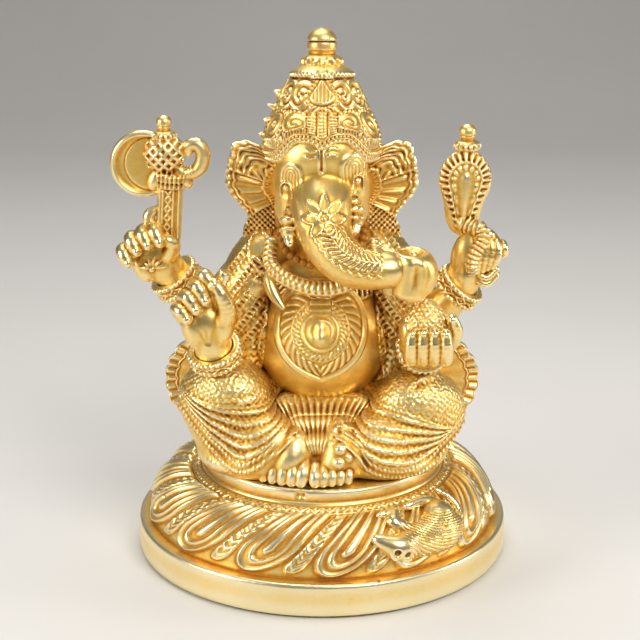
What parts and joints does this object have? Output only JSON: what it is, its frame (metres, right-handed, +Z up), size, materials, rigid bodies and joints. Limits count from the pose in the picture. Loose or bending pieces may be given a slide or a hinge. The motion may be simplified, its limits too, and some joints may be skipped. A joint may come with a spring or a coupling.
{
  "type": "ganesha idol",
  "caption": "Seated elephant-headed deity in gilt cast brass on a round lotus pedestal, with crown, raised axe and cobra hood, and a mouse at the foot.",
  "frame": {"origin": "centre of the underside, on the plane of the felt, where the idol stands on a surface", "axes": "+Z up through the crown; the figure faces -Y; its own right hand is on the -X side"},
  "size_m": [0.1196, 0.115, 0.1602],
  "materials": {
    "gilt_brass": "gilt cast brass, satin, with dark patina in the recesses",
    "gilt_cloth": "gilt cast brass, stippled and pleated as cloth",
    "gilt_skin": "gilt cast brass, polished on the high places",
    "gilt_ornament": "gilt cast brass, chased and beaded",
    "pale_tusk": "pale worn brass",
    "steel": "zinc plated",
    "base_board": "plain sheet",
    "felt": "green felt"
  },
  "bodies": {
    "root": {"pedestal": "gilt_brass", "closing_disc": "base_board", "felt_pad": "felt", "seat_bolts": "steel", "seat_washers": "steel", "mouse": "gilt_brass", "legs": "gilt_cloth", "apron": "gilt_cloth", "right_sash_end": "gilt_cloth", "left_sash_end": "gilt_cloth", "torso": "gilt_skin", "necklace": "gilt_ornament", "medallion": "gilt_ornament", "head": "gilt_skin", "right_ear": "gilt_skin", "left_ear": "gilt_skin", "right_tusk": "gilt_skin", "left_tusk": "gilt_skin", "trunk_sweet": "gilt_skin", "crown": "gilt_ornament", "crown_knob": "gilt_ornament", "rear_right_arm": "gilt_skin", "rear_left_arm": "gilt_skin", "front_right_arm": "gilt_skin", "front_left_arm": "gilt_skin", "rear_right_bangle": "gilt_ornament", "rear_left_bangle": "gilt_ornament", "front_right_bangle": "gilt_ornament", "front_left_bangle": "gilt_ornament", "axe_shaft": "gilt_ornament", "axe_blade": "gilt_ornament", "axe_hook": "gilt_ornament", "axe_knob": "gilt_ornament", "cobra_hood": "gilt_ornament", "hood_knob": "gilt_ornament", "held_tusk": "pale_tusk", "palm_sweet": "gilt_cloth"}
  },
  "joints": []
}
